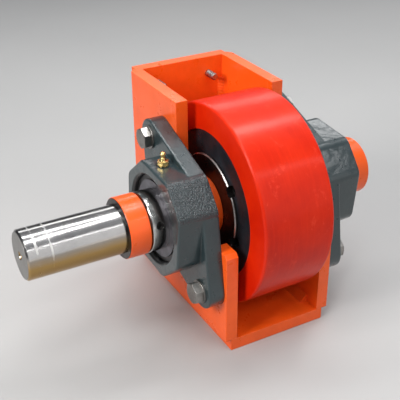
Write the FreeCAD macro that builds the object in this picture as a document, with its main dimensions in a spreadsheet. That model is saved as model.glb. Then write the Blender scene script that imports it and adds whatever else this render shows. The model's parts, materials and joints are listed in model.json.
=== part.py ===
import FreeCAD, Part
import math
import os

# Polyurethane drive wheel on a through shaft, carried by two two-bolt flange
# bearing units in a welded steel bracket.
# Row frame: X along the shaft (the plain drive journal points to -X),
# Z up, -Y is the open front of the bracket, +Y the back plate.
# The origin lies on the shaft axis at mid width of the wheel.  Unit: mm.

V = FreeCAD.Vector
doc = FreeCAD.newDocument("wheel_unit")

VALUES = [
    # shaft and pieces clamped on it
    ("shaft_r", 37.5), ("shaft_end_drive", 364.0), ("shaft_end_idle", 217.0), ("shaft_cham", 3.0), ("relief_w", 4.0), ("relief_d", 0.4), ("nipple_z", 84.6),
    ("collar_r", 47.0), ("collar_in", 181.0), ("collar_out", 214.5), ("collar_cham", 1.2),
    ("spacer_out", 100.7), ("key_half_w", 10.0), ("key_half_l", 50.0), ("key_bot", 30.0), ("key_top", 42.0),
    ("keyway_top", 42.4),
    # wheel
    ("tyre_r", 160.0), ("tyre_half_w", 59.5), ("tyre_cham", 4.0), ("rim_r", 117.0), ("rim_half_w", 57.5),
    ("rim_cham", 1.5),
    ("bush_big_r", 81.0), ("bush_small_r", 73.03), ("bush_x_big", 62.5), ("bush_x_small", 51.5),
    ("bush_screw_r", 9.0), ("bush_screw_deep", 24.0), ("bush_hole_deep", 34.0), ("bush_slit_half", 2.0),
    # bracket plates
    ("gap_half", 75.0), ("plate_t", 20.0), ("plate_top", 160.0), ("base_top", 180.0),
    ("back_in", 196.0), ("upper_front", 39.5), ("lower_front", 112.0), ("ledge_z", 26.0), ("ledge_cham", 6.0),
    ("notch_r", 82.0), ("lap", 10.0), ("weld_leg", 12.0), ("seam", 9.0),
    # mounting studs
    ("stud_r", 6.0), ("stud_x", 48.0), ("stud_z", 131.0), ("stud_in", 24.0), ("stud_out", 40.0), ("thread_p", 1.75),
    # flange bearing unit
    ("mount_x", 95.0), ("flange_t", 26.0), ("ear_r", 28.0), ("ear_d", 124.25),
    ("boss_face", 159.5), ("boss_u", 86.0), ("boss_v", 93.0), ("boss_d", 85.0), ("boss_round", 19.0),
    ("seat_r", 70.0), ("mouth_r", 68.5), ("back_bore_r", 62.5), ("mouth_cham", 3.5), ("bolt_hole_r", 12.0),
    ("bearing_x", 134.0), ("outer_half_w", 17.0), ("outer_in_r", 61.0), ("ball_r", 10.5), ("pitch_r", 54.5),
    ("race_r", 10.54), ("inner_r", 47.0), ("inner_out", 178.5), ("inner_in", 100.7),
    ("seal_in_r", 47.5), ("seal_x", 13.5), ("seal_t", 2.0), ("fling_r", 60.3), ("fling_x", 17.8), ("fling_t", 1.4),
    ("cage_in_r", 51.5), ("cage_out_r", 57.5), ("cage_half_w", 12.6), ("pocket_r", 10.8),
    ("set_r", 6.0), ("set_x", 167.0), ("collar_set_r", 5.0),
    # flange bolts
    ("bolt_r", 10.0), ("bolt_len", 47.0), ("head_h", 12.5), ("head_half_af", 15.0), ("washer_t", 3.0),
    ("washer_r", 18.5), ("washer_in_r", 10.5),
]

sheet = doc.addObject("Spreadsheet::Sheet", "dims")
for row, (name, val) in enumerate(VALUES, start=1):
    sheet.set("A%d" % row, name)
    sheet.set("B%d" % row, repr(float(val)))
    sheet.setAlias("B%d" % row, name)
doc.recompute()


class E(object):
    """A number together with the spreadsheet expression it comes from."""

    def __init__(self, v, t):
        self.v = float(v)
        self.t = t

    @staticmethod
    def of(x):
        return x if isinstance(x, E) else E(x, repr(float(x)))

    def __add__(self, o):
        o = E.of(o)
        return E(self.v + o.v, "(%s + %s)" % (self.t, o.t))

    __radd__ = __add__

    def __sub__(self, o):
        o = E.of(o)
        return E(self.v - o.v, "(%s - %s)" % (self.t, o.t))

    def __rsub__(self, o):
        return E.of(o) - self

    def __mul__(self, o):
        o = E.of(o)
        return E(self.v * o.v, "(%s * %s)" % (self.t, o.t))

    __rmul__ = __mul__

    def __neg__(self):
        return self * -1.0


D = {name: E(val, "dims." + name) for name, val in VALUES}


def bind(obj, prop, e):
    e = E.of(e)
    obj.setExpression(prop, e.t)


def plane(body, role):
    for f in body.Origin.OriginFeatures:
        if f.Role == role:
            return f


def new_body(name):
    return doc.addObject("PartDesign::Body", name + "_body")


def sketch_on(body, role, offset=None, name="sk"):
    sk = body.newObject("Sketcher::SketchObject", name)
    sk.AttachmentSupport = [(plane(body, role), "")]
    sk.MapMode = "FlatFace"
    if offset is not None:
        offset = E.of(offset)
        sk.AttachmentOffset = FreeCAD.Placement(V(0, 0, offset.v), FreeCAD.Rotation())
        sk.setExpression("AttachmentOffset.Base.z", offset.t)
    return sk


def polygon(sk, pts):
    """Closed polygon, every vertex held by two driven distances from the origin."""
    import Sketcher
    pts = [(E.of(a), E.of(b)) for a, b in pts]
    n = len(pts)
    base = sk.GeometryCount
    for i in range(n):
        a, b = pts[i], pts[(i + 1) % n]
        sk.addGeometry(Part.LineSegment(V(a[0].v, a[1].v, 0), V(b[0].v, b[1].v, 0)), False)
    for i in range(n):
        sk.addConstraint(Sketcher.Constraint("Coincident", base + i, 2, base + (i + 1) % n, 1))
    for i, (a, b) in enumerate(pts):
        for kind, e in (("DistanceX", a), ("DistanceY", b)):
            if abs(e.v) < 1e-9:
                axis = -2 if kind == "DistanceX" else -1
                sk.addConstraint(Sketcher.Constraint("PointOnObject", base + i, 1, axis))
            else:
                c = sk.addConstraint(Sketcher.Constraint(kind, -1, 1, base + i, 1, e.v))
                sk.setExpression("Constraints[%d]" % c, e.t)


def circle(sk, cx, cy, r):
    import Sketcher
    cx, cy, r = E.of(cx), E.of(cy), E.of(r)
    g = sk.addGeometry(Part.Circle(V(cx.v, cy.v, 0), V(0, 0, 1), r.v), False)
    for kind, e in (("DistanceX", cx), ("DistanceY", cy)):
        if abs(e.v) < 1e-9:
            sk.addConstraint(Sketcher.Constraint("PointOnObject", g, 3, -2 if kind == "DistanceX" else -1))
        else:
            c = sk.addConstraint(Sketcher.Constraint(kind, -1, 1, g, 3, e.v))
            sk.setExpression("Constraints[%d]" % c, e.t)
    c = sk.addConstraint(Sketcher.Constraint("Radius", g, r.v))
    sk.setExpression("Constraints[%d]" % c, r.t)


def rounded(sk, pts, r):
    """Closed outline with straight sides and one tangent arc of radius r at each corner."""
    import Sketcher
    r = E.of(r)
    n, ends = len(pts), []
    for i in range(n):
        p0, p1, p2 = (V(pts[j % n][0], pts[j % n][1], 0) for j in (i - 1, i, i + 1))
        a, b = (p0 - p1).normalize(), (p2 - p1).normalize()
        half = math.acos(max(-1.0, min(1.0, a.dot(b)))) / 2
        cut_back = r.v / math.tan(half)
        mid = (a + b).normalize()
        centre_pt = p1 + mid * (r.v / math.sin(half))
        ends.append((p1 + a * cut_back, centre_pt - mid * r.v, p1 + b * cut_back))
    for i in range(n):
        line = sk.addGeometry(Part.LineSegment(ends[i][2], ends[(i + 1) % n][0]), False)
        sk.addConstraint(Sketcher.Constraint("Block", line))
        arc = sk.addGeometry(Part.Arc(*ends[(i + 1) % n]), False)
        sk.addConstraint(Sketcher.Constraint("Block", arc))


def revolve(name, pts):
    """Ring or rod turned about the X axis from (x, radius) points."""
    body = new_body(name)
    sk = sketch_on(body, "XY_Plane", name=name + "_profile")
    polygon(sk, pts)
    rev = body.newObject("PartDesign::Revolution", name + "_turned")
    rev.Profile = sk
    rev.ReferenceAxis = (sk, ["H_Axis"])
    rev.Angle = 360.0
    body.Tip = rev
    doc.recompute()
    sk.Visibility = False
    return body


def pad(body, sk, length, reverse=False, name="pad"):
    p = body.newObject("PartDesign::Pad", name)
    p.Profile = sk
    length = E.of(length)
    p.Length = length.v
    bind(p, "Length", length)
    p.Reversed = reverse
    body.Tip = p
    doc.recompute()
    sk.Visibility = False
    return p


def pocket(body, sk, length, name="pocket"):
    before = body.Shape.Volume
    p = body.newObject("PartDesign::Pocket", name)
    p.Profile = sk
    length = E.of(length)
    p.Length = length.v
    bind(p, "Length", length)
    p.Midplane = True
    body.Tip = p
    doc.recompute()
    sk.Visibility = False
    assert body.Shape.Volume < before - 1e-3, name
    return p


def soften(body, pick, size, kind="Fillet"):
    """Fillet or chamfer every edge the test accepts."""
    prev = body.Tip
    names = ["Edge%d" % (i + 1) for i, e in enumerate(prev.Shape.Edges) if pick(e)]
    f = body.newObject("PartDesign::" + kind, body.Name + "_" + kind.lower())
    f.Base = (prev, names)
    if kind == "Fillet":
        f.Radius = size
    else:
        f.Size = size
    body.Tip = f
    doc.recompute()
    return f


def cyl(name, r, h, base, axis):
    r, h = E.of(r), E.of(h)
    o = doc.addObject("Part::Cylinder", name)
    o.Radius, o.Height = r.v, h.v
    bind(o, "Radius", r)
    bind(o, "Height", h)
    base = [E.of(b) for b in base]
    o.Placement = FreeCAD.Placement(V(*[b.v for b in base]), FreeCAD.Rotation(V(0, 0, 1), V(*axis)))
    for k, b in zip("xyz", base):
        o.setExpression("Placement.Base." + k, b.t)
    return o


def box(name, size, corner):
    o = doc.addObject("Part::Box", name)
    for prop, e in zip(("Length", "Width", "Height"), size):
        e = E.of(e)
        setattr(o, prop, e.v)
        bind(o, prop, e)
    corner = [E.of(c) for c in corner]
    o.Placement = FreeCAD.Placement(V(*[c.v for c in corner]), FreeCAD.Rotation())
    for k, c in zip("xyz", corner):
        o.setExpression("Placement.Base." + k, c.t)
    return o


def cut(name, base, tools):
    o = doc.addObject("Part::Cut", name)
    o.Base = base
    if len(tools) == 1:
        o.Tool = tools[0]
    else:
        f = doc.addObject("Part::MultiFuse", name + "_tools")
        f.Shapes = tools
        o.Tool = f
    doc.recompute()
    return o


def fuse(name, items):
    o = doc.addObject("Part::MultiFuse", name)
    o.Shapes = items
    doc.recompute()
    return o


def group(name, items):
    o = doc.addObject("Part::Compound", name)
    o.Links = items
    doc.recompute()
    return o


def feature(name, shape):
    o = doc.addObject("Part::Feature", name)
    o.Shape = shape
    return o


NODES = []


def node(name, obj, colour=None):
    obj.Label = name
    NODES.append((name, obj))
    return obj


SIDES = (("drive", -1.0), ("idle", 1.0))
ANG = math.radians(50.2)            # long axis of the bearing flanges, from +Y towards +Z
CU, SU = math.cos(ANG), math.sin(ANG)


def along(u, v):
    """Flange coordinates (u along the long axis, v across) to (y, z)."""
    u, v = E.of(u), E.of(v)
    return (u * CU - v * SU, u * SU + v * CU)


# ---------------------------------------------------------------- bracket
for side, s in SIDES:
    name = "side_plate_" + side
    body = new_body(name)
    # the sketch plane is the plate's inner face; the pad grows outwards
    sk = sketch_on(body, "YZ_Plane", D["gap_half"] * s, name + "_outline")
    polygon(sk, [
        (-D["lower_front"], -D["base_top"]),
        (D["back_in"], -D["base_top"]),
        (D["back_in"], D["plate_top"]),
        (D["upper_front"], D["plate_top"]),
        (D["upper_front"], -D["ledge_z"]),
        (-D["lower_front"] + D["ledge_cham"], -D["ledge_z"]),
        (-D["lower_front"], -D["ledge_z"] - D["ledge_cham"]),
    ])
    pad(body, sk, D["plate_t"], reverse=(s < 0), name=name + "_pad")
    sk = sketch_on(body, "YZ_Plane", D["gap_half"] * s, name + "_notch")
    circle(sk, 0, 0, D["notch_r"])
    pocket(body, sk, D["plate_t"] * 4, name + "_notch_cut")
    sk = sketch_on(body, "YZ_Plane", D["gap_half"] * s, name + "_tapped")
    for q in (1.0, -1.0):
        y, z = along(D["ear_d"] * q, 0)
        circle(sk, y, z, D["bolt_r"])
    pocket(body, sk, D["plate_t"] * 4, name + "_tapped_cut")
    xo = (95.0) * s
    soften(body, lambda e: e.Length > 15 and max(abs(v.X) for v in e.Vertexes) > 94.9
           and min(abs(v.X) for v in e.Vertexes) > 94.9 and len(e.Vertexes) == 2
           and abs(e.Vertexes[0].Point.z + 180) + abs(e.Vertexes[1].Point.z + 180) > 1
           and abs(e.Vertexes[0].Point.y - 196) + abs(e.Vertexes[1].Point.y - 196) > 1, 1.0)
    node(name, body)

# base plate and back plate are narrower than the bracket by one lap on each side
bp = box("base_blank", [(D["gap_half"] + D["lap"]) * 2, D["lower_front"] + D["back_in"] + D["lap"], D["plate_t"]],
         [-D["gap_half"] - D["lap"], -D["lower_front"], -D["base_top"] - D["plate_t"]])
node("base_plate", bp)

bk = box("back_blank", [(D["gap_half"] + D["lap"]) * 2, D["plate_t"], D["plate_top"] + D["base_top"]],
         [-D["gap_half"] - D["lap"], D["back_in"], -D["base_top"]])
stud_holes = []
for i, sx in enumerate((1.0, -1.0)):
    for j, sz in enumerate((1.0, -1.0)):
        stud_holes.append(cyl("stud_hole_%d%d" % (i, j), D["stud_r"], D["plate_t"] + 4,
                              [D["stud_x"] * sx, D["back_in"] - 2, D["stud_z"] * sz], (0, 1, 0)))
node("back_plate", cut("back_drilled", bk, stud_holes))


def bead(p0, p1, a, b, seed):
    """Weld bead: a slightly bulged triangular section with legs a and b, swept p0 -> p1."""
    p0, p1, a, b = V(*p0), V(*p1), V(*a), V(*b)
    mid = (a + b) * 0.5
    bulge = mid * 1.16
    e1 = Part.makeLine(p0, p0 + a)
    arc = Part.Arc(p0 + a, p0 + bulge, p0 + b).toShape()
    e3 = Part.makeLine(p0 + b, p0)
    face = Part.Face(Part.Wire([e1, arc, e3]))
    return face.extrude(p1 - p0)


G, T, BI, BT = D["gap_half"].v, D["plate_t"].v, D["back_in"].v, D["base_top"].v
W, SM, LAP, PT = D["weld_leg"].v, D["seam"].v, D["lap"].v, D["plate_top"].v
beads = []
for side, s in SIDES:
    # inside fillets: base to side plate, back plate to side plate
    beads.append(bead((s * G, -84, -BT), (s * G, BI - W - 1, -BT), (-s * W, 0, 0), (0, 0, W), 1))
    beads.append(bead((s * G, BI, -BT + W + 1), (s * G, BI, PT - 40), (-s * 8, 0, 0), (0, -8, 0), 2))
    # open outside laps: vertical seam at the back corner, seam under the plate at the base end
    beads.append(bead((s * (G + LAP), BI, -BT + 1), (s * (G + LAP), BI, PT - 0.6), (s * SM, 0, 0), (0, SM, 0), 3))
    beads.append(bead((s * (G + LAP), 4, -BT), (s * (G + LAP), BI - 1, -BT), (s * SM, 0, 0), (0, 0, -SM), 4))
beads.append(bead((-G + W + 1, BI, -BT), (G - W - 1, BI, -BT), (0, -8, 0), (0, 0, 8), 5))
beads.append(bead((-G - LAP + 1, BI + LAP, -BT), (G + LAP - 1, BI + LAP, -BT), (0, SM, 0), (0, 0, -SM), 6))
node("weld_beads", feature("welds", Part.makeCompound(beads)))


def thread_profile(x0, x1, r, pitch, depth, cham):
    """(x, r) points of a rod with ring-shaped thread grooves from x0 to x1."""
    pts = [(x0, 0.0), (x0, r - cham), (x0 + cham, r)]
    x = x0 + cham + 0.4
    while x + pitch < x1 - cham - 0.2:
        pts += [(x, r), (x + pitch * 0.45, r - depth), (x + pitch * 0.9, r)]
        x += pitch
    pts += [(x1 - cham, r), (x1, r - cham), (x1, 0.0)]
    return pts


def turned(pts, origin, axis):
    """Solid of revolution of (t, r) points about an axis through origin."""
    w = Part.makePolygon([V(t, r, 0) for t, r in pts] + [V(pts[0][0], pts[0][1], 0)])
    sh = Part.Face(w).revolve(V(0, 0, 0), V(1, 0, 0), 360)
    sh.Placement = FreeCAD.Placement(V(*origin), FreeCAD.Rotation(V(1, 0, 0), V(*axis)))
    return Part.Solid(sh) if sh.ShapeType != "Solid" else sh


studs = []
SI, SO, SR, TP = D["stud_in"].v, D["stud_out"].v, D["stud_r"].v, D["thread_p"].v
for sx in (1.0, -1.0):
    for sz in (1.0, -1.0):
        inner = thread_profile(0.0, SI - 0.5, SR, TP, 1.0, 1.2)[:-3]
        outer = thread_profile(SI + T + 0.5, SI + T + SO, SR, TP, 1.0, 1.2)[3:]
        studs.append(turned(inner + [(SI - 0.5, SR)] + outer,
                            (D["stud_x"].v * sx, BI - SI, D["stud_z"].v * sz), (0, 1, 0)))
node("mounting_studs", feature("studs", Part.makeCompound(studs)))

# ---------------------------------------------------------------- bearing units
# Both units are the same casting. The idle one is turned over about the long
# axis of its flange, so its grease nipple leaves towards the back.
NIPPLE = {}
for side, deg in (("drive", 90.0), ("idle", 2 * math.degrees(ANG) - 90.0)):
    NIPPLE[side] = (math.cos(math.radians(deg)), math.sin(math.radians(deg)))
for side, s in SIDES:
    name = "bearing_housing_" + side
    body = new_body(name)
    # eight-sided boss, flats held by their distances from the shaft axis
    flats = [(0.0, D["boss_u"].v), (44.0, D["boss_d"].v), (90.0, D["boss_v"].v), (136.0, D["boss_d"].v),
             (180.0, D["boss_u"].v), (224.0, D["boss_d"].v), (270.0, D["boss_v"].v), (316.0, D["boss_d"].v)]
    local, corners = [], []
    for k in range(8):
        a1, d1 = math.radians(flats[k][0]), flats[k][1]
        a2, d2 = math.radians(flats[(k + 1) % 8][0]), flats[(k + 1) % 8][1]
        det = math.sin(a2 - a1)
        cu = (d1 * math.sin(a2) - d2 * math.sin(a1)) / det
        cv = (d2 * math.cos(a1) - d1 * math.cos(a2)) / det
        local.append((cu, cv))
        corners.append(tuple(c.v for c in along(cu, cv)))
    # flange: two ears, and straight flanks that run from them into the boss corners
    for q in (1.0, -1.0):
        sk = sketch_on(body, "YZ_Plane", D["mount_x"] * s, name + "_ear")
        y, z = along(D["ear_d"] * q, 0)
        circle(sk, y, z, D["ear_r"])
        pad(body, sk, D["flange_t"], reverse=(s < 0), name=name + "_ear_pad")
        if q > 0:
            sk = sketch_on(body, "YZ_Plane", D["mount_x"] * s, name + "_flanks")
            er, ed, rc = D["ear_r"].v, D["ear_d"].v, D["boss_round"].v
            cu, cv = local[1]
            fold = math.radians((90.0 - 44.0) / 2)
            lean = math.radians((90.0 + 44.0) / 2)
            off = rc / math.cos(fold)
            au, av = cu - off * math.cos(lean), cv - off * math.sin(lean)
            r2 = rc - 0.6
            # outer tangent of the ear circle and the rounded boss corner
            du, dv = au - ed, av
            dist = math.hypot(du, dv)
            base_dir = math.atan2(dv, du)
            nrm = base_dir - math.acos((er - r2) / dist)
            nu, nv = math.cos(nrm), math.sin(nrm)
            eu, ev = ed + er * nu, er * nv
            bu, bv = au + r2 * nu, av + r2 * nv
            polygon(sk, [along(a, b) for a, b in (
                (bu, bv), (eu, ev), (eu, -ev), (bu, -bv), (-bu, -bv), (-eu, -ev), (-eu, ev), (-bu, bv))])
            pad(body, sk, D["flange_t"], reverse=(s < 0), name=name + "_flank_pad")
    fx = D["mount_x"].v + D["flange_t"].v
    soften(body, lambda e: all(abs(abs(v.X) - fx) < 1e-3 for v in e.Vertexes), 2.5)
    sk = sketch_on(body, "YZ_Plane", D["mount_x"] * s, name + "_boss")
    rounded(sk, corners, D["boss_round"])
    pad(body, sk, D["boss_face"] - D["mount_x"], reverse=(s < 0), name=name + "_boss_pad")
    bf = D["boss_face"].v
    # cast radius round the boss face
    soften(body, lambda e: all(abs(abs(v.X) - bf) < 1e-3 for v in e.Vertexes), 3.0)
    # bore: spherical seat for the insert, open mouth, relieved back
    seat = doc.addObject("Part::Sphere", "seat_" + side)
    seat.Radius = D["seat_r"].v
    bind(seat, "Radius", D["seat_r"])
    seat.Placement = FreeCAD.Placement(V(D["bearing_x"].v * s, 0, 0), FreeCAD.Rotation(V(0, 0, 1), V(1, 0, 0)))
    seat.setExpression("Placement.Base.x", (D["bearing_x"] * s).t)
    mouth = cyl("mouth_" + side, D["mouth_r"], 40, [D["bearing_x"] * s, 0, 0], (s, 0, 0))
    back = cyl("back_bore_" + side, D["back_bore_r"], 60, [D["bearing_x"] * s, 0, 0], (-s, 0, 0))
    cone = doc.addObject("Part::Cone", "mouth_bevel_" + side)
    cone.Radius1, cone.Radius2, cone.Height = D["mouth_r"].v - 1, D["mouth_r"].v + 4.5, 5.5
    cone.Placement = FreeCAD.Placement(V((bf - 4.5) * s, 0, 0), FreeCAD.Rotation(V(0, 0, 1), V(s, 0, 0)))
    tools = [seat, mouth, back, cone]
    for i, q in enumerate((1.0, -1.0)):
        y, z = along(D["ear_d"] * q, 0)
        tools.append(cyl("bolt_hole_%s_%d" % (side, i), D["bolt_hole_r"], D["flange_t"] + 10,
                         [D["mount_x"] * s - 5 * s, y, z], (s, 0, 0)))
        # spot face under the bolt head
        tools.append(cyl("spot_face_%s_%d" % (side, i), 21.0, 30,
                         [(D["mount_x"] + D["flange_t"]) * s, y, z], (s, 0, 0)))
    # tapped hole for the grease nipple in the top of the boss
    nc, ns = NIPPLE[side]
    tools.append(cyl("nipple_hole_" + side, 5.0, 40, [s * 137.5, 60 * nc, 60 * ns], (0, nc, ns)))
    # spot face that the nipple's shoulder seats on
    tools.append(cyl("nipple_seat_" + side, 10.5, 20, [s * 137.5, D["nipple_z"] * nc, D["nipple_z"] * ns], (0, nc, ns)))
    node(name, cut(name + "_machined", body, tools))

    # insert bearing
    bx, hw = D["bearing_x"].v, D["outer_half_w"].v
    sr, oi, pr, rr = D["seat_r"].v, D["outer_in_r"].v, D["pitch_r"].v, D["race_r"].v
    sph = doc.addObject("Part::Sphere", "outer_ball_" + side)
    sph.Radius = sr
    bind(sph, "Radius", D["seat_r"])
    sph.Placement = FreeCAD.Placement(V(bx * s, 0, 0), FreeCAD.Rotation(V(0, 0, 1), V(1, 0, 0)))
    slab = cyl("outer_slab_" + side, D["seat_r"] + 5, D["outer_half_w"] * 2,
               [(D["bearing_x"] - D["outer_half_w"]) * s, 0, 0], (s, 0, 0))
    com = doc.addObject("Part::MultiCommon", "outer_blank_" + side)
    com.Shapes = [sph, slab]
    tor = doc.addObject("Part::Torus", "outer_race_" + side)
    tor.Radius1, tor.Radius2 = pr, rr
    bind(tor, "Radius1", D["pitch_r"])
    bind(tor, "Radius2", D["race_r"])
    tor.Placement = FreeCAD.Placement(V(bx * s, 0, 0), FreeCAD.Rotation(V(0, 0, 1), V(1, 0, 0)))
    obore = cyl("outer_bore_" + side, D["outer_in_r"], 60, [D["bearing_x"] * s - 30 * s, 0, 0], (s, 0, 0))
    node("outer_ring_" + side, cut("outer_ring_%s_cut" % side, com, [obore, tor]))

    ib = revolve("inner_blank_" + side, [
        (s * D["inner_in"], D["shaft_r"]), (s * D["inner_out"], D["shaft_r"]),
        (s * D["inner_out"], D["inner_r"] - 1.0), (s * (D["inner_out"] - 1.0), D["inner_r"]),
        (s * (D["inner_in"] + 0.8), D["inner_r"]), (s * D["inner_in"], D["inner_r"] - 0.8)])
    tor2 = doc.addObject("Part::Torus", "inner_race_" + side)
    tor2.Radius1, tor2.Radius2 = pr, rr
    bind(tor2, "Radius1", D["pitch_r"])
    bind(tor2, "Radius2", D["race_r"])
    tor2.Placement = FreeCAD.Placement(V(bx * s, 0, 0), FreeCAD.Rotation(V(0, 0, 1), V(1, 0, 0)))
    tools = [tor2]
    for i, a in enumerate((163.0, 283.0)):
        ca, sa = math.cos(math.radians(a)), math.sin(math.radians(a))
        tools.append(cyl("ring_tap_%s_%d" % (side, i), D["set_r"], 30, [D["set_x"] * s, ca * 30, sa * 30], (0, ca, sa)))
    node("inner_ring_" + side, cut("inner_ring_%s_cut" % side, ib, tools))

    balls = []
    for k in range(10):
        a = 2 * math.pi * k / 10
        b = doc.addObject("Part::Sphere", "ball_%s_%d" % (side, k))
        b.Radius = D["ball_r"].v
        bind(b, "Radius", D["ball_r"])
        b.Placement = FreeCAD.Placement(V(bx * s, pr * math.cos(a), pr * math.sin(a)), FreeCAD.Rotation())
        balls.append(b)
    node("ball_set_" + side, group("ball_set_%s_c" % side, balls))

    cb = revolve("cage_blank_" + side, [
        (s * (D["bearing_x"] - D["cage_half_w"]), D["cage_in_r"]), (s * (D["bearing_x"] + D["cage_half_w"]), D["cage_in_r"]),
        (s * (D["bearing_x"] + D["cage_half_w"]), D["cage_out_r"]), (s * (D["bearing_x"] - D["cage_half_w"]), D["cage_out_r"])])
    tools = []
    for k in range(10):
        a = 2 * math.pi * k / 10
        tools.append(cyl("pocket_%s_%d" % (side, k), D["pocket_r"], 30,
                         [D["bearing_x"] * s, math.cos(a) * 40, math.sin(a) * 40], (0, math.cos(a), math.sin(a))))
    node("ball_cage_" + side, cut("ball_cage_%s_cut" % side, cb, tools))

    seals, flings = [], []
    for i, q in enumerate((1.0, -1.0)):
        x0 = (D["bearing_x"] + D["seal_x"] * q) * s
        x1 = (D["bearing_x"] + (D["seal_x"] + D["seal_t"]) * q) * s
        seals.append(revolve("seal_%s_%d" % (side, i), [
            (x0, D["seal_in_r"]), (x1, D["seal_in_r"]), (x1, D["outer_in_r"]), (x0, D["outer_in_r"])]))
        x0 = (D["bearing_x"] + D["fling_x"] * q) * s
        x1 = (D["bearing_x"] + (D["fling_x"] + D["fling_t"]) * q) * s
        flings.append(revolve("flinger_%s_%d" % (side, i), [
            (x0, D["inner_r"]), (x1, D["inner_r"]), (x1, D["fling_r"] - 1.0), (x1, D["fling_r"]),
            (x0, D["fling_r"])]))
    node("bearing_seals_" + side, group("seals_%s_c" % side, seals))
    node("bearing_flingers_" + side, group("flingers_%s_c" % side, flings))

    # clamp collar outside the bearing and spacer sleeve inside it
    col = revolve("collar_blank_" + side, [
        (s * D["collar_in"], D["shaft_r"]), (s * D["collar_out"], D["shaft_r"]),
        (s * D["collar_out"], D["collar_r"] - D["collar_cham"]), (s * (D["collar_out"] - D["collar_cham"]), D["collar_r"]),
        (s * (D["collar_in"] + D["collar_cham"]), D["collar_r"]), (s * D["collar_in"], D["collar_r"] - D["collar_cham"])])
    tap = cyl("collar_tap_" + side, D["collar_set_r"], 30, [s * 197.75, 30.0, 0], (0, 1, 0))
    node("collar_" + side, cut("collar_%s_cut" % side, col, [tap]))
    sp_in = D["bush_x_big"] if s < 0 else D["bush_x_small"]
    node("spacer_" + side, revolve("spacer_%s_b" % side, [
        (s * sp_in, D["shaft_r"]), (s * D["spacer_out"], D["shaft_r"]),
        (s * D["spacer_out"], D["collar_r"] - 1.0), (s * (D["spacer_out"] - 1.0), D["collar_r"]),
        (s * (sp_in + 1.0), D["collar_r"]), (s * sp_in, D["collar_r"] - 1.0)]))


# ---------------------------------------------------------------- small hardware
def hexagon(x0, x1, half_af, cham, y, z, s, turn):
    """Hexagon head between x0 (seat) and x1 (top) with the top corners bevelled."""
    rc = half_af / math.cos(math.radians(30))
    pts = [V(x0, y + rc * math.cos(math.radians(turn + 60 * k)), z + rc * math.sin(math.radians(turn + 60 * k)))
           for k in range(7)]
    prism = Part.Face(Part.makePolygon(pts)).extrude(V(x1 - x0, 0, 0))
    h = abs(x1 - x0)
    cone = turned([(-0.001, 0.0), (-0.001, rc + 1), (h - (rc + 1 - half_af + 0.6) * 0.5, rc + 1), (h, half_af - 0.6), (h, 0.0)],
                  (x0, y, z), (1.0 if x1 > x0 else -1.0, 0, 0))
    return prism.common(cone)


bolts, washers, nipples, ring_screws, collar_screws = [], [], [], [], []
MX, FT = D["mount_x"].v, D["flange_t"].v
for side, s in SIDES:
    for i, q in enumerate((1.0, -1.0)):
        y, z = D["ear_d"].v * q * CU, D["ear_d"].v * q * SU
        seat_x = (MX + FT) * s
        wt = D["washer_t"].v
        under = seat_x + wt * s
        head = hexagon(under, under + D["head_h"].v * s, D["head_half_af"].v, 1.0, y, z, s, 90.0)
        shank = turned([(0, 0), (0, D["bolt_r"].v), (D["bolt_len"].v - 1.5, D["bolt_r"].v),
                        (D["bolt_len"].v, D["bolt_r"].v - 1.5), (D["bolt_len"].v, 0)], (under, y, z), (-s, 0, 0))
        bolts.append(head.fuse(shank).removeSplitter())
        w = turned([(0, D["washer_in_r"].v), (0, D["washer_r"].v), (wt - 0.4, D["washer_r"].v),
                    (wt, D["washer_r"].v - 0.4), (wt, D["washer_in_r"].v)], (seat_x, y, z), (s, 0, 0))
        washers.append(w)
    # grease nipple: thread, hexagon, neck and ball head
    top = D["nipple_z"].v
    rod = turned([(-12.0, 0), (-12.0, 5.0), (0.0, 5.0), (0.0, 7.0), (7.6, 7.0), (8.6, 5.6), (10.0, 4.4), (12.4, 4.0),
                  (13.6, 3.2), (16.0, 3.2), (17.4, 4.3), (19.6, 4.3), (21.4, 3.0), (21.8, 2.2), (21.8, 0)],
                 (s * 137.5, 0, top), (0, 0, 1))
    hexa = []
    for k in range(7):
        a = math.radians(60 * k)
        hexa.append(V(s * 137.5 + 9.0 * math.cos(a), 9.0 * math.sin(a), top + 2.4))
    nut = Part.Face(Part.makePolygon(hexa)).extrude(V(0, 0, 5.6))
    skirt = turned([(0.8, 0), (0.8, 7.6), (2.4, 8.4), (2.4, 0)], (s * 137.5, 0, top), (0, 0, 1))
    nip = rod.fuse([nut, skirt]).removeSplitter()
    nip.rotate(V(0, 0, 0), V(1, 0, 0), math.degrees(math.atan2(NIPPLE[side][1], NIPPLE[side][0])) - 90.0)
    nipples.append(nip)
    # socket set screws in the inner ring, sunk below the ring surface
    for a in (163.0, 283.0):
        ca, sa = math.cos(math.radians(a)), math.sin(math.radians(a))
        r0 = D["shaft_r"].v
        g = turned([(0, 0), (0, 4.5), (0.8, 6.0), (6.0, 6.0), (6.0, 3.4), (2.6, 3.4), (2.6, 0)],
                   (D["set_x"].v * s, ca * r0, sa * r0), (0, ca, sa))
        ring_screws.append(g)
    g = turned([(0, 0), (0, 3.8), (0.8, 5.0), (7.6, 5.0), (7.6, 2.9), (3.6, 2.9), (3.6, 0)],
               (s * 197.75, 37.5, 0), (0, 1, 0))
    collar_screws.append(g)
node("flange_bolts", feature("bolts", Part.makeCompound(bolts)))
node("flange_washers", feature("washers", Part.makeCompound(washers)))
node("grease_nipples", feature("nipples", Part.makeCompound(nipples)))
node("inner_ring_screws", feature("ring_screws", Part.makeCompound(ring_screws)))
node("collar_screws", feature("collar_screws_f", Part.makeCompound(collar_screws)))

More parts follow.
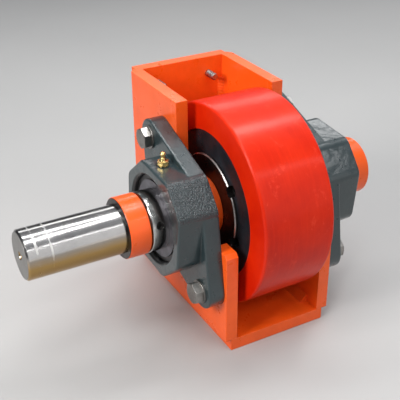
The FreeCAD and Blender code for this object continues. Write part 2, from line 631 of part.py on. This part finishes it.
# ---------------------------------------------------------------- shaft and wheel
sb = revolve("shaft_blank", [
    (-D["shaft_end_drive"], 0), (D["shaft_end_idle"], 0),
    (D["shaft_end_idle"], D["shaft_r"] - 1.5), (D["shaft_end_idle"] - 1.5, D["shaft_r"]),
    # grinding relief where the journal ends, just under the outer end of its collar
    (-D["collar_out"] + D["relief_w"], D["shaft_r"]), (-D["collar_out"] + D["relief_w"], D["shaft_r"] - D["relief_d"]),
    (-D["collar_out"], D["shaft_r"] - D["relief_d"]), (-D["collar_out"], D["shaft_r"]),
    (-D["shaft_end_drive"] + D["shaft_cham"], D["shaft_r"]), (-D["shaft_end_drive"], D["shaft_r"] - D["shaft_cham"])])
kw = box("shaft_keyway", [D["key_half_l"] * 2, D["key_half_w"] * 2, 20],
         [-D["key_half_l"], -D["key_half_w"], D["key_bot"]])
centre = doc.addObject("Part::Cone", "centre_drill")
centre.Radius1, centre.Radius2, centre.Height = 7.0, 1.5, 9.5
centre.Placement = FreeCAD.Placement(V(-D["shaft_end_drive"].v, 0, 0), FreeCAD.Rotation(V(0, 0, 1), V(1, 0, 0)))
node("shaft", cut("shaft_cut", sb, [kw, centre]))
node("wheel_key", box("key_bar", [D["key_half_l"] * 2, D["key_half_w"] * 2, D["key_top"] - D["key_bot"]],
                      [-D["key_half_l"], -D["key_half_w"], D["key_bot"]]))

bb = revolve("bush_blank", [
    (-D["bush_x_big"], D["shaft_r"] + 1.0), (-D["bush_x_big"] + 1.0, D["shaft_r"]),
    (D["bush_x_small"] - 1.0, D["shaft_r"]), (D["bush_x_small"], D["shaft_r"] + 1.0),
    (D["bush_x_small"], D["bush_small_r"]), (-D["bush_x_big"] + 1.5, D["bush_big_r"] - 0.105),
    (-D["bush_x_big"], D["bush_big_r"] - 1.6)])
bkw = box("bush_keyway", [140, D["key_half_w"] * 2, D["keyway_top"]], [-70, -D["key_half_w"], 0])
slit = box("bush_slit", [140, 60, D["bush_slit_half"] * 2], [-70, 35, -D["bush_slit_half"]])
HOLES = [(142.0, True), (262.0, True), (22.0, True), (202.0, False), (322.0, False)]


def joint_holes(tag):
    out = []
    for i, (a, screw) in enumerate(HOLES):
        ca, sa = math.cos(math.radians(a)), math.sin(math.radians(a))
        out.append(cyl("%s_hole_%d" % (tag, i), D["bush_screw_r"], D["bush_hole_deep"] + 10,
                       [-D["bush_x_big"] - 10, D["bush_big_r"] * ca, D["bush_big_r"] * sa], (1, 0, 0)))
    return out


node("taper_bush", cut("bush_cut", bb, [bkw, slit] + joint_holes("bush")))

rw, rr_ = D["rim_half_w"].v, D["rim_r"].v
slope = (D["bush_big_r"].v - D["bush_small_r"].v) / (D["bush_x_big"].v + D["bush_x_small"].v)
r_left = D["bush_big_r"].v - slope * (D["bush_x_big"].v - rw)
r_small = D["bush_small_r"].v
hb = revolve("hub_blank", [
    (-D["rim_half_w"], D["rim_r"] - D["rim_cham"]), (-D["rim_half_w"], r_left), (D["bush_x_small"], D["bush_small_r"]),
    (D["bush_x_small"], D["bush_small_r"] - 0.0), (D["rim_half_w"], D["bush_small_r"]),
    (D["rim_half_w"], D["rim_r"] - D["rim_cham"]), (D["rim_half_w"] - D["rim_cham"], D["rim_r"]),
    (-D["rim_half_w"] + D["rim_cham"], D["rim_r"])][0:3] + [
    (D["rim_half_w"], D["bush_small_r"]),
    (D["rim_half_w"], D["rim_r"] - D["rim_cham"]), (D["rim_half_w"] - D["rim_cham"], D["rim_r"]),
    (-D["rim_half_w"] + D["rim_cham"], D["rim_r"])])
node("wheel_hub", cut("hub_cut", hb, joint_holes("hub")))

screws = []
for a, screw in HOLES:
    if not screw:
        continue
    ca, sa = math.cos(math.radians(a)), math.sin(math.radians(a))
    R = D["bush_screw_r"].v
    L = D["bush_screw_deep"].v
    x_tip = -D["bush_x_big"].v + D["bush_hole_deep"].v
    screws.append(turned([(0, 0), (0, R - 1.0), (1.0, R), (L, R), (L, 4.6), (L - 9.0, 4.6), (L - 9.0, 0)],
                         (x_tip, D["bush_big_r"].v * ca, D["bush_big_r"].v * sa), (-1, 0, 0)))
node("bush_screws", feature("bush_screws_f", Part.makeCompound(screws)))

ty = new_body("tyre")
sk = sketch_on(ty, "XY_Plane", name="tyre_profile")
polygon(sk, [
    (-D["tyre_half_w"], D["rim_r"] + 1.0), (-D["rim_half_w"] + D["rim_cham"], D["rim_r"]),
    (D["rim_half_w"] - D["rim_cham"], D["rim_r"]), (D["tyre_half_w"], D["rim_r"] + 1.0),
    (D["tyre_half_w"], D["tyre_r"]), (-D["tyre_half_w"], D["tyre_r"])])
rev = ty.newObject("PartDesign::Revolution", "tyre_turned")
rev.Profile = sk
rev.ReferenceAxis = (sk, ["H_Axis"])
rev.Angle = 360.0
ty.Tip = rev
doc.recompute()
tr = D["tyre_r"].v
soften(ty, lambda e: all(abs(math.hypot(v.Y, v.Z) - tr) < 1e-3 for v in e.Vertexes)
       and abs(e.BoundBox.XLength) < 1e-3, 4.0)
node("tyre", ty)

# ---------------------------------------------------------------- checks and output
doc.recompute()
bad = []
for o in doc.Objects:
    if "Invalid" in o.State or "Error" in o.State:
        bad.append(o.Name + " " + str(o.State))
for name, o in NODES:
    if o.Shape.isNull() or not o.Shape.isValid():
        bad.append(name + " shape")
if bad:
    raise RuntimeError("; ".join(bad))

os.makedirs("parts", exist_ok=True)
for name, o in NODES:
    o.Shape.exportStep(os.path.join("parts", name + ".step"))
    print("%-28s solids %2d  volume %10.1f mm3" % (name, len(o.Shape.Solids), o.Shape.Volume))
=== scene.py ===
import json
import math
import bpy
import bmesh
from mathutils import Matrix, Vector


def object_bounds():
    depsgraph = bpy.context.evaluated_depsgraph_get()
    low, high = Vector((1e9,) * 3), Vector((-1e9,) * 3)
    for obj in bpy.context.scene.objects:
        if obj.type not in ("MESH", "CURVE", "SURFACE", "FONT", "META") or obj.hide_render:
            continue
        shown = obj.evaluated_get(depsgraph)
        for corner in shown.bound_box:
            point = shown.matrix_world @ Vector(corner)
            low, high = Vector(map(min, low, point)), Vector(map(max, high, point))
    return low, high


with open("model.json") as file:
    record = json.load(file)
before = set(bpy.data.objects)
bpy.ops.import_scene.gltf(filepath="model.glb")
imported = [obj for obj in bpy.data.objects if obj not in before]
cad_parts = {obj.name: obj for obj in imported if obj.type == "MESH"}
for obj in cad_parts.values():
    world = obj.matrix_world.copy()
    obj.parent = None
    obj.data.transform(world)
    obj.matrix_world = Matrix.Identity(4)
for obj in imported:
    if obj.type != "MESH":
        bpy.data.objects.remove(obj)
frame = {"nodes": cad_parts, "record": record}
CAD_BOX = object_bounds()
scene = bpy.context.scene

# ------------------------------------------------------------------ node helpers


class Mat:
    """A procedural material: Principled shader plus small helpers for textures in the row frame (metres)."""

    def __init__(self, name, base, rough, metal=0.0, **uniform):
        self.m = bpy.data.materials.new(name)
        self.m.use_nodes = True
        self.t = self.m.node_tree
        self.t.nodes.clear()
        self.out = self.n("ShaderNodeOutputMaterial")
        self.b = self.n("ShaderNodeBsdfPrincipled")
        self.link(self.b.outputs[0], self.out.inputs[0])
        self.base, self.rough = base, rough
        self.b.inputs["Base Color"].default_value = (*base, 1)
        self.b.inputs["Roughness"].default_value = rough
        self.b.inputs["Metallic"].default_value = metal
        for k, v in uniform.items():
            key = k.replace("_", " ")
            for s in self.b.inputs:
                if s.name.lower() == key.lower():
                    s.default_value = v
        self.tc = self.n("ShaderNodeTexCoord")
        self.pos = self.tc.outputs["Object"]
        self.height = []

    def n(self, kind, **props):
        node = self.t.nodes.new(kind)
        for k, v in props.items():
            setattr(node, k, v)
        return node

    def link(self, a, b):
        self.t.links.new(a, b)

    def math(self, op, a, b=None, c=None, clamp=False):
        node = self.n("ShaderNodeMath", operation=op, use_clamp=clamp)
        for i, x in enumerate((a, b, c)):
            if x is None:
                continue
            if isinstance(x, (int, float)):
                node.inputs[i].default_value = x
            else:
                self.link(x, node.inputs[i])
        return node.outputs[0]

    def stretch(self, sx, sy, sz, vec=None):
        node = self.n("ShaderNodeMapping")
        node.inputs["Scale"].default_value = (sx, sy, sz)
        self.link(vec or self.pos, node.inputs["Vector"])
        return node.outputs[0]

    def noise(self, scale, detail=4.0, rough=0.55, vec=None, distortion=0.0):
        node = self.n("ShaderNodeTexNoise")
        node.inputs["Scale"].default_value = scale
        node.inputs["Detail"].default_value = detail
        node.inputs["Roughness"].default_value = rough
        node.inputs["Distortion"].default_value = distortion
        self.link(vec or self.pos, node.inputs["Vector"])
        return node.outputs["Fac"]

    def voronoi(self, scale, vec=None, feature="F1"):
        node = self.n("ShaderNodeTexVoronoi", feature=feature)
        node.inputs["Scale"].default_value = scale
        self.link(vec or self.pos, node.inputs["Vector"])
        return node.outputs["Distance"]

    def ramp(self, fac, lo, hi, a=0.0, b=1.0):
        node = self.n("ShaderNodeMapRange")
        node.clamp = True
        node.inputs["From Min"].default_value = lo
        node.inputs["From Max"].default_value = hi
        node.inputs["To Min"].default_value = a
        node.inputs["To Max"].default_value = b
        self.link(fac, node.inputs["Value"])
        return node.outputs[0]

    def mix(self, fac, a, b):
        node = self.n("ShaderNodeMix", data_type="RGBA")
        self.link(fac, node.inputs["Factor"]) if not isinstance(fac, (int, float)) else setattr(node.inputs["Factor"], "default_value", fac)
        for x, s in ((a, 6), (b, 7)):
            if isinstance(x, tuple):
                node.inputs[s].default_value = (*x, 1)
            else:
                self.link(x, node.inputs[s])
        return node.outputs[2]

    def mixf(self, fac, a, b):
        node = self.n("ShaderNodeMix", data_type="FLOAT")
        self.link(fac, node.inputs[0])
        for x, s in ((a, 2), (b, 3)):
            if isinstance(x, (int, float)):
                node.inputs[s].default_value = x
            else:
                self.link(x, node.inputs[s])
        return node.outputs[0]

    def xyz(self):
        node = self.n("ShaderNodeSeparateXYZ")
        self.link(self.pos, node.inputs[0])
        return node.outputs[0], node.outputs[1], node.outputs[2]

    def radius(self):
        x, y, z = self.xyz()
        return self.math("SQRT", self.math("ADD", self.math("MULTIPLY", y, y), self.math("MULTIPLY", z, z)))

    def around(self, k_axial, k_round):
        """Coordinates (along the shaft, around it) as a seamless 3-D vector."""
        x, y, z = self.xyz()
        r = self.radius()
        c = self.n("ShaderNodeCombineXYZ")
        self.link(self.math("MULTIPLY", x, k_axial), c.inputs[0])
        self.link(self.math("MULTIPLY", self.math("DIVIDE", y, r), k_round), c.inputs[1])
        self.link(self.math("MULTIPLY", self.math("DIVIDE", z, r), k_round), c.inputs[2])
        return c.outputs[0]

    def edge(self, radius, lo=0.985, hi=0.86):
        """1 on convex and concave edges, 0 on flats."""
        bev = self.n("ShaderNodeBevel", samples=4)
        bev.inputs["Radius"].default_value = radius
        geo = self.n("ShaderNodeNewGeometry")
        dot = self.n("ShaderNodeVectorMath", operation="DOT_PRODUCT")
        self.link(bev.outputs[0], dot.inputs[0])
        self.link(geo.outputs["Normal"], dot.inputs[1])
        return self.ramp(dot.outputs["Value"], lo, hi)

    def color(self, out):
        self.link(out, self.b.inputs["Base Color"])

    def roughness(self, out):
        self.link(out, self.b.inputs["Roughness"])

    def bump(self, layers, bevel=0.0, coat=False):
        """layers: (height 0..1, depth in metres)."""
        normal = None
        if bevel > 0:
            bev = self.n("ShaderNodeBevel", samples=4)
            bev.inputs["Radius"].default_value = bevel
            normal = bev.outputs[0]
        for h, depth in layers:
            node = self.n("ShaderNodeBump")
            node.inputs["Strength"].default_value = 1.0
            node.inputs["Distance"].default_value = depth
            self.link(h, node.inputs["Height"])
            if normal is not None:
                self.link(normal, node.inputs["Normal"])
            normal = node.outputs[0]
        if normal is not None:
            self.link(normal, self.b.inputs["Normal"])
            if coat:
                self.link(normal, self.b.inputs["Coat Normal"])
        return normal


def paint(name, base, rough, peel=0.00006, coat=0.22, deeper=0.86, bevel=0.0012, wear=0.25, ripple=None):
    m = Mat(name, base, rough, coat_weight=coat, coat_roughness=0.10, ior=1.5, specular_ior_level=0.32)
    cloud = m.noise(9.0, 5.0, 0.6)
    fine = m.noise(70.0, 3.0, 0.6)
    dark = tuple(c * deeper for c in base)
    lightc = tuple(min(1.0, c * 1.05 + 0.012) for c in base)
    col = m.mix(m.ramp(cloud, 0.35, 0.68), dark, base)
    col = m.mix(m.math("MULTIPLY", m.ramp(fine, 0.45, 0.75), 0.35), col, lightc)
    e = m.edge(0.0022)
    e = m.math("MULTIPLY", e, m.ramp(m.noise(55.0, 4.0, 0.7), 0.42, 0.62))
    col = m.mix(m.math("MULTIPLY", e, wear), col, tuple(min(1.0, c * 1.15 + 0.09) for c in base))
    # dust and grime in random patches over the weldment
    grime = m.math("MULTIPLY", m.ramp(m.noise(23.0, 6.0, 0.65), 0.52, 0.74), 0.22)
    col = m.mix(grime, col, tuple(c * 0.62 for c in base))
    m.color(col)
    m.roughness(m.ramp(m.noise(30.0, 4.0, 0.6), 0.3, 0.75, rough * 0.82, rough * 1.35))
    layers = [(m.noise(420.0, 2.0, 0.5), peel), (m.noise(28.0, 3.0, 0.5), peel * 3.0)]
    if ripple is not None:
        layers.append((ripple(m), 0.0004))
    m.bump(layers, bevel=bevel, coat=True)
    return m.m


ORANGE = (0.90, 0.107, 0.008)

MATS = {}
MATS["bracket_paint"] = paint("bracket_orange", ORANGE, 0.30)


def weld_ripple(m):
    x, y, z = m.xyz()
    w = m.n("ShaderNodeTexWave", wave_type="BANDS", bands_direction="DIAGONAL", wave_profile="SIN")
    w.inputs["Scale"].default_value = 120.0
    w.inputs["Distortion"].default_value = 2.2
    w.inputs["Detail"].default_value = 2.0
    m.link(m.pos, w.inputs["Vector"])
    return w.outputs["Fac"]


MATS["weld_paint"] = paint("weld_orange", (0.87, 0.10, 0.008), 0.34, peel=0.0001, bevel=0.0, ripple=weld_ripple)

# clamp collars: paint on the outside and rim; the outer face is bare dark steel, coloured near-black as painted shade
# for the shadow it lies in
m = Mat("collar_orange", ORANGE, 0.30, coat_weight=0.2, coat_roughness=0.12, specular_ior_level=0.32)
x, y, z = m.xyz()
# painted shade: the bare steel outer face is coloured near-black for the shadow it lies in
face = m.ramp(m.math("ABSOLUTE", x), 0.21385, 0.2141)
m.color(m.mix(face, m.mix(m.ramp(m.noise(22.0, 4.0), 0.35, 0.7), tuple(c * 0.86 for c in ORANGE), ORANGE),
              m.mix(m.ramp(m.noise(60.0, 5.0, 0.7), 0.4, 0.66), (0.012, 0.009, 0.009), (0.045, 0.036, 0.034))))
m.link(m.math("MULTIPLY", face, 0.85), m.b.inputs["Metallic"])
m.roughness(m.ramp(m.noise(40.0, 4.0), 0.3, 0.7, 0.24, 0.42))
m.bump([(m.noise(400.0, 2.0), 0.00006), (m.noise(1.0, 3.0, 0.6, vec=m.around(900.0, 1.5)), 0.00004)], bevel=0.0012, coat=True)
MATS["collar_paint"] = m.m
MATS["spacer_paint"] = paint("spacer_orange", (0.86, 0.10, 0.008), 0.34)

# cast housings: dark blue-green enamel over a sand-cast skin. One flank of each casting, the
# +v flank on the drive side and the -v flank on the turned-over idle one, is left coarse.
m = Mat("housing_enamel", (0.015, 0.031, 0.035), 0.34, coat_weight=0.55, coat_roughness=0.08, ior=1.5)
x, y, z = m.xyz()
ang = math.radians(50.2)
across = m.math("ADD", m.math("MULTIPLY", y, -math.sin(ang)), m.math("MULTIPLY", z, math.cos(ang)))
side = m.math("SIGN", m.math("MULTIPLY", x, -1.0))
flank = m.ramp(m.math("MULTIPLY", across, side), 0.0885, 0.0925)
edge_fade = m.ramp(m.noise(60.0, 3.0, 0.6), 0.30, 0.55)
flank = m.math("MULTIPLY", flank, m.mixf(m.ramp(m.math("ABSOLUTE", x), 0.099, 0.112), edge_fade, 1.0))
grain = m.noise(420.0, 3.0, 0.65)
cells = m.voronoi(430.0, feature="SMOOTH_F1")
coarse = m.math("ADD", m.math("MULTIPLY", grain, 0.65), m.math("MULTIPLY", cells, 0.45))
mid = m.noise(120.0, 4.0, 0.55)
soft = m.noise(34.0, 3.0, 0.5)
rad = m.radius()
# painted shade: the mouth wall inside the bearing seat is coloured near-black where it lies in shadow, and made rougher
mouth_shade = m.math("MULTIPLY", m.ramp(rad, 0.0738, 0.0725), m.ramp(m.math("ABSOLUTE", x), 0.1596, 0.1588))
col = m.mix(m.ramp(m.noise(16.0, 5.0, 0.6), 0.35, 0.7), (0.011, 0.024, 0.028), (0.020, 0.037, 0.041))
col = m.mix(m.math("MULTIPLY", m.ramp(coarse, 0.52, 0.72), m.math("MULTIPLY", flank, 0.5)), col, (0.10, 0.13, 0.135))
e = m.math("MULTIPLY", m.edge(0.0025), m.ramp(m.noise(70.0, 4.0, 0.7), 0.46, 0.68))
col = m.mix(m.math("MULTIPLY", e, 0.30), col, (0.15, 0.19, 0.19))
col = m.mix(m.math("MULTIPLY", mouth_shade, 0.85), col, (0.006, 0.007, 0.008))
m.color(col)
m.roughness(m.math("ADD", m.ramp(mid, 0.3, 0.75, 0.26, 0.42), m.math("MULTIPLY", mouth_shade, 0.25)))
m.bump([(soft, 0.0006), (mid, 0.00018), (m.math("MULTIPLY", coarse, flank), 0.0034), (m.noise(300.0, 3.0, 0.6), 0.00007)], bevel=0.0032, coat=True)
MATS["housing_paint"] = m.m


def metal(name, base, rough, var=0.35, scale=40.0, spots=0.0, bevel=0.0, rings=0.0, ring_scale=1600.0, aniso=0.0, metallic=1.0, extra=None, mottle=0.00003):
    m = Mat(name, base, rough, metallic, anisotropic=aniso)
    if aniso:
        tan = m.n("ShaderNodeTangent", direction_type="RADIAL", axis="X")
        m.link(tan.outputs[0], m.b.inputs["Tangent"])
    n1 = m.noise(scale, 5.0, 0.65)
    col = m.mix(m.ramp(n1, 0.32, 0.7), tuple(c * (1 - var) for c in base), tuple(min(1.0, c * 1.08) for c in base))
    if spots:
        col = m.mix(m.math("MULTIPLY", m.ramp(m.noise(scale * 3.1, 5.0, 0.7), 0.56, 0.7), spots), col, tuple(c * 0.35 for c in base))
    layers = [(m.noise(scale * 7, 3.0, 0.6), mottle)]
    r = m.ramp(m.noise(scale * 1.7, 4.0, 0.6), 0.3, 0.72, rough * 0.8, rough * 1.4)
    if rings:
        line = m.noise(1.0, 4.0, 0.7, vec=m.around(ring_scale, 1.3))
        layers.append((line, rings))
        r = m.mixf(m.ramp(line, 0.42, 0.62), r, m.math("MULTIPLY", r, 1.35))
    if extra:
        col, r = extra(m, col, r)
    m.color(col)
    m.roughness(r)
    m.bump(layers, bevel=bevel)
    return m.m


def shaft_bands(m, col, r):
    x, y, z = m.xyz()
    # rubbed bands and a few handling scratches near the free end of the journal
    b1 = m.math("SUBTRACT", 1.0, m.ramp(m.math("ABSOLUTE", m.math("ADD", x, 0.3475)), 0.0009, 0.0022))
    b2 = m.math("SUBTRACT", 1.0, m.ramp(m.math("ABSOLUTE", m.math("ADD", x, 0.3265)), 0.0008, 0.0019))
    band = m.math("MAXIMUM", b1, b2)
    patch = m.ramp(m.noise(1.0, 3.0, 0.6, vec=m.around(60.0, 2.2)), 0.38, 0.62)
    band = m.math("MULTIPLY", band, patch)
    col = m.mix(m.math("MULTIPLY", band, 0.55), col, (0.80, 0.79, 0.76))
    scr = m.ramp(m.noise(1.0, 2.0, 0.4, vec=m.around(14.0, 42.0)), 0.69, 0.73)
    col = m.mix(m.math("MULTIPLY", scr, 0.30), col, (0.75, 0.74, 0.70))
    # painted reflection: a straw-coloured tint on the underside stands in for the warm floor reflected in the ground
    # steel
    underside_ramp = m.math("ADD", m.math("MULTIPLY", z, -1.0), m.ramp(m.noise(1.0, 4.0, 0.6, vec=m.around(9.0, 1.5)), 0.3, 0.7, -0.004, 0.004))
    floor_reflection_tint = m.ramp(underside_ramp, -0.015, 0.004, 0.03, 1.0)
    col = m.mix(floor_reflection_tint, col, (0.40, 0.255, 0.095))
    # the end face is sawn and faced, duller than the ground journal
    face = m.ramp(x, -0.3632, -0.3637)
    col = m.mix(face, col, (0.30, 0.29, 0.28))
    return col, m.math("ADD", m.math("ADD", r, m.math("MULTIPLY", band, 0.2)), m.math("MULTIPLY", face, 0.25))


def ring_seat_shade(m, col, r):
    # painted shade: the outer ring, which sits in the shade of the seat, is coloured near-black and made duller
    rad = m.radius()
    outer = m.ramp(rad, 0.0605, 0.0615)
    col = m.mix(m.math("MULTIPLY", outer, 0.9), col, (0.035, 0.034, 0.038))
    return col, m.math("ADD", r, m.math("MULTIPLY", outer, 0.25))


MATS["shaft_steel"] = metal("shaft_ground", (0.37, 0.366, 0.366), 0.13, var=0.12, scale=18.0, rings=0.000012, ring_scale=2600.0,
                            aniso=0.5, bevel=0.0008, extra=shaft_bands, mottle=0.000004)
MATS["bearing_steel"] = metal("ring_ground", (0.50, 0.49, 0.48), 0.13, var=0.10, scale=14.0, rings=0.000006, ring_scale=3000.0,
                              bevel=0.0004, extra=ring_seat_shade, mottle=0.000001)
MATS["ball_steel"] = metal("ball_polished", (0.72, 0.72, 0.72), 0.06, var=0.05)
MATS["cage_steel"] = metal("cage_pressed", (0.42, 0.42, 0.40), 0.32, var=0.25, bevel=0.0006)
MATS["flinger_steel"] = metal("flinger_pressed", (0.20, 0.195, 0.22), 0.34, var=0.4, spots=0.3, rings=0.00004, ring_scale=900.0, bevel=0.0006)
MATS["key_steel"] = metal("key_drawn", (0.46, 0.46, 0.45), 0.35, var=0.2, bevel=0.0006)
MATS["zinc_plate"] = metal("zinc_hardware", (0.31, 0.297, 0.280), 0.33, var=0.32, scale=85.0, spots=0.30, bevel=0.0009)
MATS["stud_steel"] = metal("stud_zinc", (0.50, 0.46, 0.44), 0.26, var=0.3, scale=120.0, spots=0.3)
MATS["nipple_brass"] = metal("nipple_brass", (0.70, 0.52, 0.21), 0.24, var=0.3, scale=160.0, spots=0.25, bevel=0.0004)
MATS["black_oxide"] = metal("black_oxide", (0.045, 0.043, 0.042), 0.38, var=0.35, scale=120.0, bevel=0.0005, metallic=0.85)


def hub_look(m, col, r):
    rad = m.radius()
    turn = m.noise(1.0, 3.0, 0.6, vec=m.stretch(1.0, 1.0, 1.0))
    smear = m.ramp(m.noise(14.0, 5.0, 0.6), 0.42, 0.70)
    col = m.mix(m.math("MULTIPLY", smear, 0.5), col, (0.085, 0.092, 0.115))
    # paint mist along the joint with the tyre
    rim = m.ramp(rad, 0.1135, 0.1168)
    col = m.mix(m.math("MULTIPLY", rim, m.ramp(m.noise(60.0, 4.0), 0.45, 0.75, 0.0, 0.6)), col, (0.22, 0.02, 0.012))
    return col, r


def face_rings(m, scale):
    """Concentric turning marks on a face square to the shaft."""
    c = m.n("ShaderNodeCombineXYZ")
    m.link(m.math("MULTIPLY", m.radius(), scale), c.inputs[0])
    return c.outputs[0]


m = Mat("hub_dark_steel", (0.046, 0.049, 0.060), 0.30, 0.88)
col = m.mix(m.ramp(m.noise(30.0, 5.0, 0.65), 0.32, 0.7), (0.045, 0.052, 0.066), (0.095, 0.108, 0.135))
col, _ = hub_look(m, col, None)
m.color(col)
line = m.noise(1.0, 3.0, 0.65, vec=face_rings(m, 1500.0))
m.roughness(m.math("ADD", m.ramp(m.noise(50.0, 4.0), 0.3, 0.72, 0.22, 0.40), m.math("MULTIPLY", line, 0.10)))
m.bump([(line, 0.00003), (m.noise(260.0, 3.0), 0.00003)], bevel=0.001)
MATS["hub_steel"] = m.m

m = Mat("bush_steel", (0.035, 0.032, 0.033), 0.34, 0.85)
rad = m.radius()
x, y, z = m.xyz()
bright = m.math("MULTIPLY", m.ramp(rad, 0.0790, 0.0794), m.ramp(x, -0.0606, -0.0612))
col = m.mix(m.ramp(m.noise(45.0, 5.0, 0.65), 0.32, 0.7), (0.020, 0.018, 0.019), (0.060, 0.050, 0.050))
col = m.mix(m.math("MULTIPLY", bright, m.ramp(m.noise(80.0, 4.0), 0.3, 0.6, 0.55, 1.0)), col, (0.42, 0.395, 0.385))
m.color(col)
line = m.noise(1.0, 3.0, 0.65, vec=face_rings(m, 1300.0))
m.roughness(m.ramp(m.noise(60.0, 4.0), 0.3, 0.72, 0.26, 0.46))
m.bump([(line, 0.00004), (m.noise(260.0, 3.0), 0.00003)], bevel=0.0006)
MATS["bush_steel"] = m.m

m = Mat("seal_rubber", (0.012, 0.012, 0.013), 0.55)
m.color(m.mix(m.ramp(m.noise(90.0, 4.0), 0.4, 0.7), (0.009, 0.009, 0.010), (0.026, 0.025, 0.025)))
m.roughness(m.ramp(m.noise(120.0, 4.0), 0.3, 0.7, 0.42, 0.7))
m.bump([(m.noise(500.0, 3.0), 0.00008)])
MATS["seal_rubber"] = m.m

# cast polyurethane tyre: deep red, slightly translucent, finely ground tread, moulded side faces
PU = (0.80, 0.024, 0.008)
m = Mat("tyre_polyurethane", PU, 0.36, subsurface_weight=0.06, subsurface_scale=0.003, coat_weight=0.20, coat_roughness=0.20, ior=1.46, specular_ior_level=0.18)
m.b.inputs["Subsurface Radius"].default_value = (1.0, 0.16, 0.08)
m.b.inputs["Specular Tint"].default_value = (1.0, 0.62, 0.42, 1.0)
x, y, z = m.xyz()
rad = m.radius()
tread = m.ramp(rad, 0.1592, 0.1597)
cloud = m.noise(13.0, 5.0, 0.6)
streak = m.noise(1.0, 5.0, 0.66, vec=m.around(210.0, 2.4))
col = m.mix(m.ramp(cloud, 0.34, 0.70), (0.50, 0.010, 0.001), (0.62, 0.018, 0.001))
col = m.mix(m.math("MULTIPLY", m.math("MULTIPLY", m.ramp(streak, 0.48, 0.72), tread), 0.20), col, (0.80, 0.032, 0.006))
scuff = m.math("MULTIPLY", m.ramp(m.noise(1.0, 6.0, 0.72, vec=m.around(46.0, 5.5), distortion=0.7), 0.585, 0.66), tread)
col = m.mix(m.math("MULTIPLY", scuff, 0.20), col, (0.90, 0.10, 0.05))
col = m.mix(m.math("MULTIPLY", m.edge(0.005, 0.995, 0.90), 0.14), col, (0.95, 0.10, 0.04))
m.color(col)
m.roughness(m.math("ADD", m.ramp(m.noise(24.0, 5.0, 0.6), 0.3, 0.72, 0.30, 0.48), m.math("MULTIPLY", scuff, 0.12)))
m.bump([(streak, 0.00009), (m.noise(6.0, 3.0, 0.5), 0.0011), (m.noise(150.0, 4.0, 0.6), 0.00010)], bevel=0.002, coat=True)
MATS["tyre_pu"] = m.m

slots = {s["node"]: s["material_slot"] for s in frame["record"]["subparts"]}
for name, obj in frame["nodes"].items():
    mat = MATS[slots[name]]
    if not obj.material_slots:
        obj.data.materials.append(mat)
    for s in obj.material_slots:
        s.material = mat

# ------------------------------------------------------------------ floor, lights, camera
me = bpy.data.meshes.new("floor")
bm = bmesh.new()
bmesh.ops.create_circle(bm, cap_ends=True, radius=14.0, segments=96)
bm.to_mesh(me)
bm.free()
floor = bpy.data.objects.new("floor", me)
floor.location = (0, 0, CAD_BOX[0][2] - 0.0002)
scene.collection.objects.link(floor)
fm = Mat("floor_pale", (0.62, 0.615, 0.605), 0.55)
fm.color(fm.mix(fm.ramp(fm.noise(1.3, 3.0), 0.3, 0.7), (0.37, 0.369, 0.366), (0.395, 0.394, 0.390)))
me.materials.append(fm.m)


def area(name, loc, target, size, power, color=(1, 1, 1), size_y=None):
    L = bpy.data.lights.new(name, "AREA")
    L.energy = power
    L.color = color
    L.size = size
    if size_y:
        L.shape = "RECTANGLE"
        L.size_y = size_y
    o = bpy.data.objects.new(name, L)
    o.location = loc
    d = Vector(target) - Vector(loc)
    o.rotation_mode = "QUATERNION"
    o.rotation_quaternion = d.to_track_quat("-Z", "Y")
    scene.collection.objects.link(o)
    return o


area("key_left", (-2.1, -0.35, 1.30), (0, 0, 0), 0.9, 58.0, (1.0, 0.985, 0.96))
area("tube_top_a", (0.15, -0.22, 1.85), (0, 0, 0), 2.2, 18.0, (1, 1, 1), 0.20)
area("tube_top_b", (0.15, 0.55, 1.80), (0, 0, 0), 2.2, 15.0, (1, 1, 1), 0.16)
area("tube_back", (0.40, 1.75, 1.10), (-0.1, 0, 0), 2.6, 11.0, (1, 1, 1), 0.30)
area("tube_front", (0.1, -1.35, 1.30), (-0.1, 0, 0), 2.4, 5.0, (1, 1, 1), 0.05)
area("front_fill", (0.7, -2.4, 0.75), (0.05, 0, -0.1), 2.2, 18.0)
area("back_right", (2.1, 0.3, 1.5), (0, 0, 0), 1.0, 14.0)

world = bpy.data.worlds.new("studio")
world.use_nodes = True
wt = world.node_tree
wt.nodes.clear()
wo = wt.nodes.new("ShaderNodeOutputWorld")
wb = wt.nodes.new("ShaderNodeBackground")
tc = wt.nodes.new("ShaderNodeTexCoord")
sep = wt.nodes.new("ShaderNodeSeparateXYZ")
cr = wt.nodes.new("ShaderNodeValToRGB")
wt.links.new(tc.outputs["Generated"], sep.inputs[0])
wt.links.new(sep.outputs[2], cr.inputs[0])
wt.links.new(cr.outputs[0], wb.inputs[0])
wt.links.new(wb.outputs[0], wo.inputs[0])
els = cr.color_ramp.elements
els[0].position, els[0].color = 0.0, (0.10, 0.10, 0.105, 1)
els[1].position, els[1].color = 0.95, (0.78, 0.80, 0.84, 1)
mid_el = els.new(0.50)
mid_el.color = (0.16, 0.165, 0.175, 1)
wb.inputs[1].default_value = 0.75
scene.world = world
scene.view_settings.view_transform = "Standard"
scene.view_settings.look = "None"

AZ, EL, ROLL, F_PX = math.radians(-28.562), math.radians(28.955), math.radians(-0.549), 816.0
back = Vector((math.sin(AZ) * math.cos(EL), -math.cos(AZ) * math.cos(EL), math.sin(EL)))
right = Vector((math.cos(AZ), math.sin(AZ), 0.0))
up = back.cross(right)
r2 = right * math.cos(ROLL) + up * math.sin(ROLL)
u2 = -right * math.sin(ROLL) + up * math.cos(ROLL)
cam_data = bpy.data.cameras.new("camera")
cam_data.sensor_width = 36.0
cam_data.lens = F_PX / 400.0 * 36.0
cam = bpy.data.objects.new("camera", cam_data)
rot = Matrix((r2, u2, back)).transposed()
cam.matrix_world = Matrix.Translation((-0.60111, -0.96311, 0.61705)) @ rot.to_4x4()
scene.collection.objects.link(cam)
scene.camera = cam
